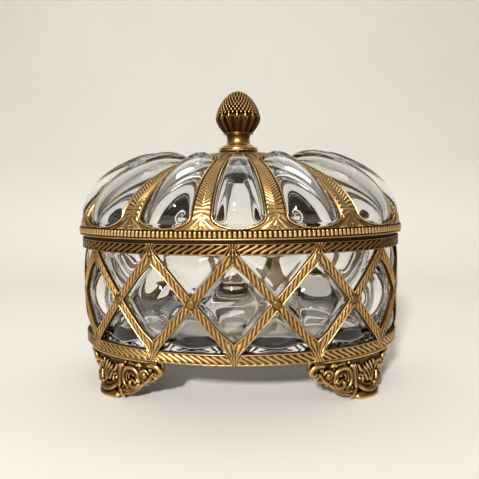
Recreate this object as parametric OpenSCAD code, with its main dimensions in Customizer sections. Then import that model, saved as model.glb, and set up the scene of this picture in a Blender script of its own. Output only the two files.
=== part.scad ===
// Oval trinket box. A thick blown glass bowl stands in a gilt brass lattice on four scroll feet.
// The lid is a lobed glass dome in a pierced brass frame, with a pine-cone knob to lift it off by.
// Millimetres. +X runs along the length, +Y to the back and +Z up.
// The origin is on the table, under the middle of the box.

/* [Body] */
// Length over the upper band
body_l = 161; // [150:1:175]
// Width over the upper band
body_w = 120; // [112:1:128]
// Height of the feet, which is the gap under the box
foot_h = 20; // [17:1:24]
// Height of each rope-chased band
band_h = 5; // [4:0.5:6]
// Thickness of each band
band_t = 2.4; // [2:0.1:2.8]
// Clear height between the two bands
cage_h = 42; // [38:1:48]
// How much shorter the lower band is than the upper one
taper_l = 1.4; // [0.8:0.2:2]

/* [Lattice] */
// Diamonds round the cage
n_div = 12; // [10:2:14]
// Width of a lattice strap
strap_w = 4; // [3:0.2:5]
// Thickness of a lattice strap
strap_t = 2; // [1.6:0.1:2.2]
// Diameter of a rivet head at a crossing
rivet_d = 3.6; // [3:0.1:4]

/* [Glass bowl] */
// Thickness of the bowl's wall
bowl_t = 4.5; // [3.5:0.5:6]
// Thickness of the bowl's floor
floor_t = 4; // [3:0.5:8]
// How far the glass swells out through a diamond
pillow = 4.4; // [2:0.2:4.6]

/* [Lid] */
// How much longer and wider the lid's rim is than the upper band
lid_over = 3; // [2:0.5:5]
// Height of the fluted rim
rim_h = 4.2; // [3.6:0.2:5]
// Rise of the dome above the rim
dome_h = 36.4; // [32:0.4:40]
// Roundness of the dome's profile, where 2 is a plain ellipse
dome_n = 1.85; // [1.7:0.05:2.1]
// Lobes round the lid
n_lobe = 12; // [10:2:14]
// Angle by which the lid's pattern is turned from the cage's
lid_turn = 2.5; // [0:0.5:4]
// Thickness of the pierced frame
frame_t = 1.6; // [1.4:0.1:2]
// How far the glass swells out through an opening at either end, where the lobes are widest
lobe = 9.8; // [6:0.2:10]
// Thickness of the dome's glass
dome_t = 3.5; // [3:0.5:4.5]

/* [Knob] */
// Largest diameter of the pine cone
cone_d = 23.2; // [20:0.2:26]
// Height of the pine cone
cone_h = 21; // [19:0.5:24]
// Diameter of the collar under it
collar_d = 20.4; // [19:0.2:22]
// Diameter of the threaded stud through the lid
stud_d = 4; // [3:0.5:5]

/* [Hidden] */
inner_swell = 0.8;      // share of the bowl's swell that its inner face has too
inner_lobe = 0.86;      // share of the lobes' swell that the dome's inner face has too
gap = 0.25;             // clearance between the glass and the bands or the rim
frame_gap = 0.5;        // clearance between the dome's glass and its pierced frame
strap_clear = 0.8;      // how far from a strap's edge the glass starts to swell
opening_clear = 0.7;    // how far inside an opening's edge the glass starts to swell
lid_gap = 0.2;          // clearance under the closed lid
e = 0.01;               // overrun of a cut
round_fn = 96;
fine_fn = 48;
cell_cols = 8;          // facets across one diamond or lobe
cell_rows = 12;         // facets up the cage

// Heights, from the table up
z_low = foot_h;
z_cage = z_low + band_h;
z_high = z_cage + cage_h;
z_top = z_high + band_h;
ledge_t = 2;            // base ring under the glass
z_glass = z_low + ledge_t;
z_floor = z_glass + floor_t;
z_mouth = z_top - 0.4;  // the bowl stops just under the band's top
seat_t = 1.2;           // flange of the locating ring, seen as the dark gap
lip_h = 2.5;            // lip that drops into the bowl
lip_t = 1.5;
z_seat = z_top + lid_gap;
z_rim = z_seat + seat_t;
z_dome = z_rim + rim_h;
z_crown = z_dome + dome_h;
collar_h = 1.7;
neck_h = 9.5;           // collar and neck together
z_cone = z_crown + neck_h;

// Plan sizes
low_l = body_l - taper_l;
low_w = body_w - taper_l;
strap_in = 0.4;         // how far the straps lie behind the upper band's face
cage_l = body_l - 2 * strap_in;
cage_w = body_w - 2 * strap_in;
bowl_l = low_l - 2 * (band_t + gap);
bowl_w = low_w - 2 * (band_t + gap);
mouth_l = bowl_l - 2 * bowl_t;
mouth_w = bowl_w - 2 * bowl_t;
lid_l = body_l + lid_over;
lid_w = body_w + lid_over;
ledge_w = 11;           // how far the base ring reaches in
seat_in = 2;            // how far the locating ring is set in from the rim
lip_gap = 0.5;
rim_t = 3.4;
frame_l = lid_l - 2;
frame_w = lid_w - 2;

// Rivets and screws
shank_r = 0.9;
shank_gap = 0.03;
screw_r = 1.5;
screw_gap = 0.05;
screw_head_r = 2.9;
screw_head_h = 1.3;
screw_in = band_t + 0.64 * ledge_w; // from the lower band's face to a screw's middle
lug_t = 3;

// Feet
toe_at = 49;            // angle of a toe from the front, on the oval
wing_front = 23;        // angles of a foot's two wing tips
wing_end = 66;
wing_h = 6;             // height of a wing's blunt tip
foot_cols = 16;
foot_rows = 7;
foot_t = 4.5;
toe_out = 1.6;
toe_t = 8;

// Angles t run from the front towards +X. A point of an oval of length l and width w:
function oval_at(l, w, t) = [l / 2 * sin(t), -w / 2 * cos(t)];
// Its outward unit normal:
function oval_normal(l, w, t) = let (n = [sin(t) / l, -cos(t) / w]) n / norm(n);
// Arc length of the cage's oval against t, and t at a given count of diamonds from the front:
arcs = [for (t = 0, s = 0; t <= 360;
    s = s + norm(oval_at(cage_l, cage_w, t + 1) - oval_at(cage_l, cage_w, t)), t = t + 1) [s, t]];
function node_t(k) = lookup((k - n_div * floor(k / n_div)) / n_div * arcs[360][0], arcs);

function pad(k) = str(k < 10 ? "0" : "", k);
RISING = [for (k = [1 : n_div]) str("lattice_strap_rising_", pad(k))];
FALLING = [for (k = [1 : n_div]) str("lattice_strap_falling_", pad(k))];
FEET = ["foot_front_right", "foot_back_right", "foot_back_left", "foot_front_left"];

BRASS = [0.72, 0.53, 0.24];
DARK_BRASS = [0.55, 0.4, 0.18];
GLASS = [0.86, 0.9, 0.9, 0.45];

// ---- Shared shapes ----

module oval(l, w, h) {
    scale([1, w / l, 1])
        cylinder(d = l, h = h, $fn = round_fn);
}

module oval_ring(l, w, h, t) {
    difference() {
        oval(l, w, h);
        translate([0, 0, -e])
            oval(l - 2 * t, w - 2 * t, h + 2 * e);
    }
}

// Triangles over a grid of nr rows by nc columns that closes on itself round the columns
function round_faces(nr, nc) = [
    for (r = [0 : nr - 2], c = [0 : nc - 1])
        let (a = r * nc + c, b = r * nc + (c + 1) % nc)
            each [[a, a + nc, b + nc], [a, b + nc, b]]
];

// A closed solid from rings of points, first ring to last, with a flat fan at both ends
module ringed(rings, first_centre, last_centre) {
    nc = len(rings[0]);
    nr = len(rings);
    low = nr * nc;
    polyhedron(
        points = concat([for (ring = rings) each ring], [first_centre, last_centre]),
        faces = concat(
            round_faces(nr, nc),
            [for (c = [0 : nc - 1]) [low, c, (c + 1) % nc]],
            [for (c = [0 : nc - 1]) [low + 1, (nr - 1) * nc + (c + 1) % nc, (nr - 1) * nc + c]]
        )
    );
}

// A closed ring-shaped solid whose last ring of points joins its first
module ringed_loop(rings) {
    nc = len(rings[0]);
    nr = len(rings);
    polyhedron(
        points = [for (ring = rings) each ring],
        faces = [for (f = round_faces(nr + 1, nc)) [for (i = f) i % (nr * nc)]]
    );
}

// ---- Cage ----

module upper_band() {
    color(BRASS)
        translate([0, 0, z_high])
            oval_ring(body_l, body_w, band_h, band_t);
}

module lower_band() {
    color(BRASS)
        translate([0, 0, z_low])
            oval_ring(low_l, low_w, band_h, band_t);
}

// Flat ring inside the lower band that the glass stands on and the feet screw to
module base_ring() {
    color(DARK_BRASS)
        difference() {
            translate([0, 0, z_low])
                oval_ring(low_l - 2 * band_t, low_w - 2 * band_t, ledge_t, ledge_w);
            at_feet()
                translate([0, 0, z_low - e])
                    cylinder(r = screw_r + screw_gap, h = ledge_t + 2 * e, $fn = fine_fn);
        }
}

// The bar that a strap of cell k is cut from: it leans up to the right if side is 1, to the left if -1
module strap_bar(k, side) {
    p = oval_at(cage_l, cage_w, node_t(k));
    q = oval_at(cage_l, cage_w, node_t(k + 1));
    d = q - p;
    translate([(p[0] + q[0]) / 2, (p[1] + q[1]) / 2, z_cage + cage_h / 2])
        rotate([0, 0, atan2(d[1], d[0])])
            rotate([0, -side * atan2(cage_h, norm(d)), 0])
                cube([2 * cage_h, 6 * strap_t, strap_w], center = true);
}

// The wedge of space over cell k, seen from above
module cell_wedge(k) {
    reach = 2;
    linear_extrude(z_top)
        polygon([
            [0, 0],
            reach * oval_at(cage_l, cage_w, node_t(k)),
            reach * oval_at(cage_l, cage_w, node_t(k + 0.5)),
            reach * oval_at(cage_l, cage_w, node_t(k + 1))
        ]);
}

// Everything inside the surface halfway through the straps
module cage_core() {
    translate([0, 0, z_cage - 1])
        oval(cage_l - strap_t, cage_w - strap_t, cage_h + 2);
}

// One strap of cell k. The two of a cell are half-lapped where they cross, and riveted there.
module strap(k, side) {
    color(BRASS)
        difference() {
            intersection() {
                translate([0, 0, z_cage])
                    oval_ring(cage_l, cage_w, cage_h, strap_t);
                strap_bar(k, side);
                cell_wedge(k);
            }
            if (side > 0)
                difference() {
                    strap_bar(k, -side);
                    cage_core();
                }
            else
                intersection() {
                    strap_bar(k, -side);
                    cage_core();
                }
            at_crossing(k)
                cylinder(r = shank_r + shank_gap, h = 4 * strap_t, center = true, $fn = fine_fn);
        }
}

// Moves to the crossing of cell k on the cage's outer face, with +Z pointing outwards
module at_crossing(k) {
    t = node_t(k + 0.5);
    p = oval_at(cage_l, cage_w, t);
    n = oval_normal(cage_l, cage_w, t);
    translate([p[0], p[1], z_cage + cage_h / 2])
        rotate([0, 0, atan2(n[1], n[0])])
            rotate([0, 90, 0])
                children();
}

module crossing_rivets() {
    head_r = rivet_d / 2;
    color(BRASS)
        for (k = [0 : n_div - 1])
            at_crossing(k)
                rotate_extrude($fn = fine_fn)
                    polygon(concat(
                        [[0, -strap_t], [shank_r, -strap_t], [shank_r, 0.05], [head_r, 0.05]],
                        [for (a = [20 : 10 : 90]) [head_r * cos(a), 0.05 + head_r * 0.6 * sin(a)]]
                    ));
}

// ---- Glass bowl ----

// Distance from strap to strap across them, and the share of it that the glass keeps clear of
strap_pitch = 1 / norm([n_div / arcs[360][0], 1 / cage_h]);
strap_share = (strap_w + 2 * strap_clear) / strap_pitch;
// 0 behind a strap and 1 midway to the next, p straps on
function clear_of_straps(p) =
    sin(90 * max(0, (2 * abs(p - round(p)) - strap_share) / (1 - strap_share)));

// Swell of the glass at u diamonds round and a fraction v of the way up the cage: nothing behind a
// strap or a band, most in the middle of a diamond
function swell(u, v) =
    let (edge = min(1, max(0, min(v, 1 - v)) / 0.3))
        pillow * pow(clear_of_straps(u + v) * clear_of_straps(u - v) * edge, 0.7);

// A ring of the bowl at height z, grown by g from the outer oval, with part of the swell
function bowl_ring(z, g, part) = [
    for (c = [0 : n_div * cell_cols - 1])
        let (
            u = c / cell_cols,
            t = node_t(u),
            v = (z - z_cage) / cage_h,
            out = g + part * swell(u, v),
            p = oval_at(bowl_l, bowl_w, t) + out * oval_normal(bowl_l, bowl_w, t)
        )
            [p[0], p[1], z]
];

function row_z(r) = z_cage + cage_h * r / cell_rows;

module glass_bowl() {
    heel = 1.5;         // rounding of the bottom edge
    // the lowest row that is clear of the rounding above the floor
    first_row = ceil((z_floor + 4.5 - z_cage) / cage_h * cell_rows);
    color(GLASS)
        ringed(
            concat(
                [bowl_ring(z_glass, -heel, 0), bowl_ring(z_glass + heel, 0, 0)],
                [for (r = [0 : cell_rows]) bowl_ring(row_z(r), 0, 1)],
                [bowl_ring(z_mouth - 0.8, 0, 0), bowl_ring(z_mouth, -0.8, 0), bowl_ring(z_mouth, -bowl_t, 0)],
                [for (r = [cell_rows : -1 : first_row]) bowl_ring(row_z(r), -bowl_t, inner_swell)],
                [bowl_ring(z_floor + 4, -bowl_t, 0)],
                [bowl_ring(z_floor + 1, -bowl_t - 1.2, 0), bowl_ring(z_floor, -bowl_t - 4, 0)]
            ),
            [0, 0, z_glass],
            [0, 0, z_floor]
        );
}

// ---- Feet ----

// Places a child at each foot's screw
module at_feet() {
    for (sx = [-1, 1], sy = [-1, 1])
        translate([
            sx * abs(oval_at(low_l - 2 * screw_in, low_w - 2 * screw_in, toe_at)[0]),
            sy * abs(oval_at(low_l - 2 * screw_in, low_w - 2 * screw_in, toe_at)[1]),
            0
        ])
            children();
}

// Outline of a foot's lower edge, s from -1 at one wing to 1 at the other: flat at the toe, then
// scalloped and rising to the wing's blunt tip
function foot_edge(s) =
    let (w = max(0, abs(s) - 0.26) / 0.74)
        (foot_h - wing_h) * pow(w, 1.25) + 0.6 * w * sin(540 * w);

// How far a foot's face stands out from the lower band's oval, v from 0 at the table to 1 on top
function foot_out(s, v) =
    let (toe = max(0, 1 - abs(s) * 1.6))
        -0.2 - 1.6 * sin(180 * v) + toe_out * toe * pow(1 - v, 1.6);

function foot_point(s, v, depth) =
    let (
        t = toe_at + s * (s < 0 ? toe_at - wing_front : wing_end - toe_at),
        low = foot_edge(s),
        thick = foot_t + (toe_t - foot_t) * max(0, 1 - abs(s) * 1.6) * (1 - v),
        p = oval_at(low_l, low_w, t) + (foot_out(s, v) - depth * thick) * oval_normal(low_l, low_w, t)
    )
        [p[0], p[1], low + (foot_h - low) * v];

// The scroll casting of the front right foot, as a bent slab with a scalloped lower edge
module foot_casting() {
    nc = foot_cols + 1;
    nr = foot_rows + 1;
    back = nr * nc;
    grid = [for (depth = [0, 1], r = [0 : foot_rows], c = [0 : foot_cols])
        foot_point(2 * c / foot_cols - 1, r / foot_rows, depth)];
    polyhedron(
        points = grid,
        faces = concat(
            [for (r = [0 : foot_rows - 1], c = [0 : foot_cols - 1]) let (a = r * nc + c)
                each [[a, a + nc, a + nc + 1], [a, a + nc + 1, a + 1]]],
            [for (r = [0 : foot_rows - 1], c = [0 : foot_cols - 1]) let (a = back + r * nc + c)
                each [[a, a + nc + 1, a + nc], [a, a + 1, a + nc + 1]]],
            [for (c = [0 : foot_cols - 1]) each [[c, c + 1, back + c + 1], [c, back + c + 1, back + c]]],
            [for (c = [0 : foot_cols - 1]) let (a = foot_rows * nc + c)
                each [[a, back + a, back + a + 1], [a, back + a + 1, a + 1]]],
            [for (r = [0 : foot_rows - 1]) let (a = r * nc)
                each [[a, back + a, back + a + nc], [a, back + a + nc, a + nc]]],
            [for (r = [0 : foot_rows - 1]) let (a = r * nc + foot_cols)
                each [[a, a + nc, back + a + nc], [a, back + a + nc, back + a]]]
        )
    );
}

// A foot with its lug, which lies under the base ring and takes the screw
module foot() {
    lug_w = 9;
    n = oval_normal(low_l, low_w, toe_at);
    s = oval_at(low_l - 2 * screw_in, low_w - 2 * screw_in, toe_at);
    difference() {
        union() {
            foot_casting();
            translate([s[0], s[1], foot_h - lug_t])
                rotate([0, 0, atan2(n[1], n[0])]) {
                    cylinder(d = lug_w, h = lug_t, $fn = fine_fn);
                    translate([0, -lug_w / 2, 0])
                        cube([screw_in - foot_t / 2, lug_w, lug_t]);
                }
        }
        translate([s[0], s[1], 0])
            cylinder(r = screw_r + screw_gap, h = foot_h + e, $fn = fine_fn);
    }
}

module foot_at_corner(i) {
    color(BRASS)
        mirror([i > 1 ? 1 : 0, 0, 0])
            mirror([0, i == 1 || i == 2 ? 1 : 0, 0])
                foot();
}

module foot_screws() {
    color(DARK_BRASS)
        at_feet()
            rotate_extrude($fn = fine_fn)
                polygon([
                    [0, foot_h - lug_t - screw_head_h],
                    [screw_head_r - 0.5, foot_h - lug_t - screw_head_h],
                    [screw_head_r, foot_h - lug_t - screw_head_h + 0.5],
                    [screw_head_r, foot_h - lug_t],
                    [screw_r, foot_h - lug_t],
                    [screw_r, z_glass - 0.2],
                    [0, z_glass - 0.2]
                ]);
}

// ---- Lid ----

// Directions phi on the lid are true angles seen from above, from the front towards +X.
function ray(phi) = [sin(phi), -cos(phi)];
// Distance from the middle to an oval's edge in that direction
function oval_reach(l, w, phi) = 1 / norm([2 * sin(phi) / l, 2 * cos(phi) / w]);

// A point of the dome: a is 0 at the rim and 90 at the crown, and off is along the outward normal
function dome_point(phi, a, off) =
    let (
        reach = oval_reach(frame_l, frame_w, phi),
        s = pow(cos(a), 2 / dome_n),
        h = pow(sin(a), 2 / dome_n),
        n = [pow(s, dome_n - 1) / reach, pow(h, dome_n - 1) / dome_h],
        m = n / norm(n),
        r = reach * s + off * m[0],
        d = ray(phi)
    )
        [r * d[0], r * d[1], z_dome + dome_h * h + off * m[1]];

lobe_deg = 360 / n_lobe;
a_foot = 1.5;           // lower end of an opening, as dome angle
a_head = 65.6;          // its upper end
a_swell = a_head - 0.3; // upper end of a lobe
// Width of an opening's half, in degrees round the lid, at dome angle a
function opening_half(phi, a) =
    let (
        s = pow(cos(a), 2 / dome_n),
        reach = oval_reach(frame_l, frame_w, phi) * s,
        rib = asin(min(0.9, (1.2 + 3.7 * s) / reach)),
        foot = pow(sin(90 * min(1, max(0, a - a_foot) / 9)), 0.55),
        head = pow(sin(90 * min(1, max(0, a_head - a) / 10)), 0.5)
    )
        (lobe_deg / 2 - rib) * foot * head;

// Swell of a lobe in direction phi, x from -1 to 1 across it. The wider a lobe, the further it swells.
function lobe_swell(phi, x, a) =
    let (
        wide = oval_reach(frame_l, frame_w, phi) / (frame_l / 2),
        foot = pow(sin(90 * min(1, max(0, a - a_foot) / 44)), 0.85),
        head = pow(sin(90 * min(1, max(0, a_swell - a) / 15)), 0.5)
    )
        lobe * wide * foot * head * pow(max(0, 1 - x * x), 0.6);

// A ring of the lid's glass at dome angle a, off under the frame's face, with part of the swell. Of a
// lobe's columns one lies under a rib's middle, and the others spread across the opening.
edge_col = 0.75;        // where the opening's edge comes between the lobe's middle, 0, and a rib's, 1
function glass_ring(a, off, part) = [
    for (c = [0 : n_lobe * cell_cols - 1])
        let (
            k = round(c / cell_cols),
            u = 2 * (c / cell_cols - k),
            middle = lid_turn + lobe_deg * k,
            rib = middle + sign(u) * lobe_deg / 2,
            narrow = opening_clear / (oval_reach(frame_l, frame_w, rib) * pow(cos(a), 2 / dome_n)),
            half = max(1, opening_half(rib, a) - asin(min(1, narrow))),
            x = sin(90 * min(1, abs(u) / edge_col)),
            phi = abs(u) > edge_col ? rib : middle + sign(u) * x * half
        )
            dome_point(phi, a, off + part * lobe_swell(phi, x, a))
];

// A level ring of the glass's skirt, which stands inside the rim
function skirt_ring(z, in) = [
    for (c = [0 : n_lobe * cell_cols - 1])
        let (
            phi = lid_turn + lobe_deg * c / cell_cols,
            r = oval_reach(lid_l - 2 * (rim_t + gap), lid_w - 2 * (rim_t + gap), phi) - in
        )
            [r * ray(phi)[0], r * ray(phi)[1], z]
];

module lid_glass() {
    under = frame_t + frame_gap;
    near_crown = 88.9;
    angles = concat([for (r = [3 : len(frame_rows) - 3]) frame_rows[r]], [a_swell, 70, 78, near_crown]);
    inner_angles = [near_crown, 74, 66, 60, 53, 42, 30, 18, 6];
    foot_z = z_rim + 0.05;  // the skirt just clears the locating ring
    color(GLASS)
        difference() {
            ringed_loop(concat(
                [skirt_ring(foot_z, dome_t), skirt_ring(foot_z, 0), skirt_ring(z_dome + 0.2, 0)],
                [for (a = angles) glass_ring(a, -under, 1)],
                [for (a = inner_angles) glass_ring(a, -under - dome_t, inner_lobe)]
            ));
            cylinder(d = stud_d + hole_gap, h = z_crown + e, $fn = fine_fn);
        }
}

module lid_rim() {
    color(BRASS)
        translate([0, 0, z_rim])
            oval_ring(lid_l, lid_w, rim_h, rim_t);
}

// Ring under the rim that rests on the band, with a lip that drops into the bowl's mouth
module lid_locating_ring() {
    lip_l = mouth_l - 2 * lip_gap;
    lip_w = mouth_w - 2 * lip_gap;
    color(DARK_BRASS)
        difference() {
            union() {
                translate([0, 0, z_seat])
                    oval(lid_l - 2 * seat_in, lid_w - 2 * seat_in, seat_t);
                translate([0, 0, z_seat - lip_h])
                    oval(lip_l, lip_w, lip_h + e);
            }
            translate([0, 0, z_seat - lip_h - e])
                oval(lip_l - 2 * lip_t, lip_w - 2 * lip_t, lip_h + seat_t + 3 * e);
        }
}

// Dome angles of the frame's rows. The two lowest and the two highest run on from rib to rib.
frame_rows = [0, a_foot, 2.6, 5, 10, 18, 28, 38, 48, 56, 61, 64, a_head, 80];
frame_cols = 5;
frame_shared = 2;

// The point of rib k at row r and column c, on the outer face (side 0) or the inner one (side 1)
function frame_point(k, r, c, side) =
    let (
        mid = lid_turn + lobe_deg * (k + 0.5),
        a = frame_rows[r],
        half = lobe_deg / 2 - opening_half(mid, a)
    )
        dome_point(mid + half * (2 * c / (frame_cols - 1) - 1), a, -side * frame_t);

function frame_joined(r) = r < frame_shared || r > len(frame_rows) - 1 - frame_shared;
// Its place in the list of points: in a joined row, a rib's last point is the next rib's first
function frame_index(k, r, c, side) =
    frame_joined(r) && c == frame_cols - 1
    ? frame_index((k + 1) % n_lobe, r, 0, side)
    : ((k * len(frame_rows) + r) * frame_cols + c) * 2 + side;

function quad(a, b, c, d) = [[a, b, c], [a, c, d]];

module pierced_dome() {
    nr = len(frame_rows);
    last = frame_cols - 1;
    polyhedron(
        points = [for (k = [0 : n_lobe - 1], r = [0 : nr - 1], c = [0 : last], side = [0, 1])
            frame_point(k, r, c, side)],
        faces = concat(
            [for (k = [0 : n_lobe - 1], r = [0 : nr - 2], c = [0 : last - 1]) each quad(
                frame_index(k, r, c, 0), frame_index(k, r + 1, c, 0),
                frame_index(k, r + 1, c + 1, 0), frame_index(k, r, c + 1, 0))],
            [for (k = [0 : n_lobe - 1], r = [0 : nr - 2], c = [0 : last - 1]) each quad(
                frame_index(k, r, c, 1), frame_index(k, r, c + 1, 1),
                frame_index(k, r + 1, c + 1, 1), frame_index(k, r + 1, c, 1))],
            [for (k = [0 : n_lobe - 1], c = [0 : last - 1]) each quad(
                frame_index(k, 0, c, 0), frame_index(k, 0, c + 1, 0),
                frame_index(k, 0, c + 1, 1), frame_index(k, 0, c, 1))],
            [for (k = [0 : n_lobe - 1], c = [0 : last - 1]) each quad(
                frame_index(k, nr - 1, c, 0), frame_index(k, nr - 1, c, 1),
                frame_index(k, nr - 1, c + 1, 1), frame_index(k, nr - 1, c + 1, 0))],
            [for (k = [0 : n_lobe - 1], r = [frame_shared - 1 : nr - 1 - frame_shared]) each quad(
                frame_index(k, r, 0, 0), frame_index(k, r, 0, 1),
                frame_index(k, r + 1, 0, 1), frame_index(k, r + 1, 0, 0))],
            [for (k = [0 : n_lobe - 1], r = [frame_shared - 1 : nr - 1 - frame_shared]) each quad(
                frame_index(k, r, last, 0), frame_index(k, r + 1, last, 0),
                frame_index(k, r + 1, last, 1), frame_index(k, r, last, 1))]
        )
    );
}

module lid_frame() {
    boss_r = 9.5;       // disc that closes the crown, hidden under the collar
    boss_t = frame_t + 0.3;
    color(BRASS)
        difference() {
            union() {
                pierced_dome();
                translate([0, 0, z_crown - boss_t])
                    cylinder(r = boss_r, h = boss_t, $fn = round_fn);
            }
            cylinder(d = stud_d + hole_gap, h = z_crown + e, $fn = fine_fn);
        }
}

// ---- Knob ----

// Radius of the pine cone at a fraction v of its height: it swells to its widest at cone_wide and
// closes in a blunt dome
cone_wide = 0.36;
cone_foot_r = 8;
function cone_r(v) =
    v < cone_wide
    ? cone_d / 2 - (cone_d / 2 - cone_foot_r) * pow(1 - v / cone_wide, 1.6)
    : cone_d / 2 * pow(max(0, 1 - pow((v - cone_wide) / (1 - cone_wide), 1.5)), 0.48);

module finial_cone() {
    steps = 24;
    color(BRASS)
        translate([0, 0, z_cone])
            difference() {
                rotate_extrude($fn = round_fn)
                    polygon(concat(
                        [[0, 0]],
                        [for (i = [0 : steps - 1]) [cone_r(i / steps), cone_h * i / steps]],
                        [[0, cone_h]]
                    ));
                translate([0, 0, -e])
                    cylinder(d = stud_d + 2 * screw_gap, h = cone_h / 2, $fn = fine_fn);
            }
}

// Turned collar with a step, and a waisted neck that opens out to the foot of the cone
module finial_neck() {
    r = collar_d / 2;
    waist = 5.8;
    waist_z = 6.3;
    step_r = r - 1.8;
    step_z = 3.1;
    flare = step_r - waist;
    color(BRASS)
        translate([0, 0, z_crown])
            difference() {
                rotate_extrude($fn = round_fn)
                    polygon(concat(
                        [[0, 0], [r, 0], [r, collar_h], [r - 0.4, collar_h + 0.4]],
                        [[step_r, collar_h + 0.4], [step_r, step_z - 0.3], [step_r - 0.3, step_z]],
                        [for (a = [10 : 20 : 90])
                            [waist + flare * (1 - sin(a)), waist_z - (waist_z - step_z) * cos(a)]],
                        [for (a = [70 : -20 : 10]) [waist + (cone_foot_r - waist) * (1 - sin(a)),
                            waist_z + (neck_h - waist_z) * cos(a)]],
                        [[cone_foot_r, neck_h], [0, neck_h]]
                    ));
                translate([0, 0, -e])
                    cylinder(d = stud_d + 2 * screw_gap, h = neck_h + 2 * e, $fn = fine_fn);
            }
}

// Inner face of the lid's glass at the stud
z_inner = z_crown - frame_t - frame_gap - dome_t;
washer_t = 1;
washer_r = 7;
washer_gap = 1;         // the glass dips a little round the stud's hole
nut_r = 4.2;
nut_h = 3.2;
stud_below = 2.5;       // length of stud below the nut
hole_gap = 1;           // the stud's holes through glass and frame are this much wider than it

module finial_stud() {
    bottom = z_inner - washer_gap - washer_t - nut_h - stud_below;
    color(DARK_BRASS)
        translate([0, 0, bottom])
            cylinder(d = stud_d, h = z_cone + cone_h / 2 - 1 - bottom, $fn = fine_fn);
}

module lid_washer() {
    color(DARK_BRASS)
        translate([0, 0, z_inner - washer_gap - washer_t])
            difference() {
                cylinder(r = washer_r, h = washer_t, $fn = fine_fn);
                translate([0, 0, -e])
                    cylinder(d = stud_d + 2 * screw_gap, h = washer_t + 2 * e, $fn = fine_fn);
            }
}

module finial_nut() {
    color(BRASS)
        translate([0, 0, z_inner - washer_gap - washer_t - nut_h])
            difference() {
                cylinder(r = nut_r, h = nut_h, $fn = 6);
                translate([0, 0, -e])
                    cylinder(d = stud_d + 2 * screw_gap, h = nut_h + 2 * e, $fn = fine_fn);
            }
}

// ---- Nodes ----

glass_bowl();
upper_band();
lower_band();
base_ring();
for (k = [0 : n_div - 1]) strap(k, 1);
for (k = [0 : n_div - 1]) strap(k, -1);
crossing_rivets();
for (i = [0 : 3]) foot_at_corner(i);
foot_screws();
lid_rim();
lid_frame();
lid_glass();
lid_locating_ring();
finial_cone();
finial_neck();
finial_stud();
lid_washer();
finial_nut();
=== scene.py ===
"""Looks of the oval trinket box: blown glass in a chased, antique-gilt brass mount. Lengths are in
millimetres until a mesh is made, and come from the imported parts' own boxes."""
import math

import bpy
import bmesh
import numpy as np
from mathutils import Matrix, Vector


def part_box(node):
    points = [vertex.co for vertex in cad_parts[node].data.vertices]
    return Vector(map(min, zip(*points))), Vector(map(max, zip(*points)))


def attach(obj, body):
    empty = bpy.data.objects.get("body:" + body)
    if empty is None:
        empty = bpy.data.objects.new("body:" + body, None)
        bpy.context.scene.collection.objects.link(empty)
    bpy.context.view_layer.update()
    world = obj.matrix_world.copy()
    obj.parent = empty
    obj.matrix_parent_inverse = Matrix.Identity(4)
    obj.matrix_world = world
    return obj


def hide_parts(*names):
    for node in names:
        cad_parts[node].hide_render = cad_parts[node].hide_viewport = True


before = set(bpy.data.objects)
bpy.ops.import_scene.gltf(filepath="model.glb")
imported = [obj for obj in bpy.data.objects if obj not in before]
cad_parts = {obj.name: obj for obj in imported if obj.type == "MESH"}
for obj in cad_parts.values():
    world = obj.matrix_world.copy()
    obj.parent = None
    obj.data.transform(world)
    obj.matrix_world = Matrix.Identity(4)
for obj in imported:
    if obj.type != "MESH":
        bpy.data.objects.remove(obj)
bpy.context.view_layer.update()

MM = 0.001
NODES = list(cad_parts)


def box(node):
    """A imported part's lowest and highest corners."""
    low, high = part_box(node)
    return np.array(low) / MM, np.array(high) / MM


def nodes_like(start):
    return sorted(n for n in NODES if n.startswith(start))


# ---------------- sizes from the frame
BODY_L, BODY_W = (box("upper_band")[1] - box("upper_band")[0])[:2]
LOW_L, LOW_W = (box("lower_band")[1] - box("lower_band")[0])[:2]
LID_L, LID_W = (box("lid_rim")[1] - box("lid_rim")[0])[:2]
Z_LOW, Z_CAGE = box("lower_band")[0][2], box("lower_band")[1][2]
Z_HIGH, Z_TOP = box("upper_band")[0][2], box("upper_band")[1][2]
Z_GLASS, Z_MOUTH = box("glass_bowl")[0][2], box("glass_bowl")[1][2]
Z_RIM, Z_DOME = box("lid_rim")[0][2], box("lid_rim")[1][2]
Z_CROWN = box("lid_frame")[1][2]
Z_CONE, Z_TIP = box("finial_cone")[0][2], box("finial_cone")[1][2]
N_DIV = len(nodes_like("lattice_strap_rising"))
CAGE_L = 2 * max(box(n)[1][0] for n in nodes_like("lattice_strap"))
CAGE_W = CAGE_L - (BODY_L - BODY_W)
CAGE_H = Z_HIGH - Z_CAGE
BAND_T = 2.4  # thickness of both bands
STRAP_T = 2.0  # thickness of a strap
STRAP_W = 4.0  # width of a strap
GAP = 0.25  # fitting gap between the glass and the brass round it
BOWL_T = 4.5  # the bowl's wall
FLOOR_T = 4.0  # the bowl's floor
PILLOW = 4.4  # how far the bowl swells out through a diamond
PILLOW_POWER = 0.7  # below 1, a swell rises fast at its edge and is flat on top
STRAP_CLEAR = 0.8  # the swell starts this far from a strap's edge
INNER_SWELL = 0.8  # share of the swell that the glass has on its inner face too
BOWL_L, BOWL_W = LOW_L - 2 * (BAND_T + GAP), LOW_W - 2 * (BAND_T + GAP)
RIM_T = 3.4  # thickness of the lid's rim
FRAME_T = 1.6  # thickness of the pierced frame
FRAME_GAP = 0.5  # between the frame and the dome's glass
OPENING_CLEAR = 0.7  # between an opening's edge and the lobe that swells through it
FRAME_L, FRAME_W = LID_L - 2, LID_W - 2
DOME_H = Z_CROWN - Z_DOME
DOME_N = 1.85  # power of the dome's superellipse: 2 would be a plain ellipse
DOME_T = 3.5  # thickness of the dome's glass
N_LOBE = 12
LOBE_DEG = 360 / N_LOBE
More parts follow.
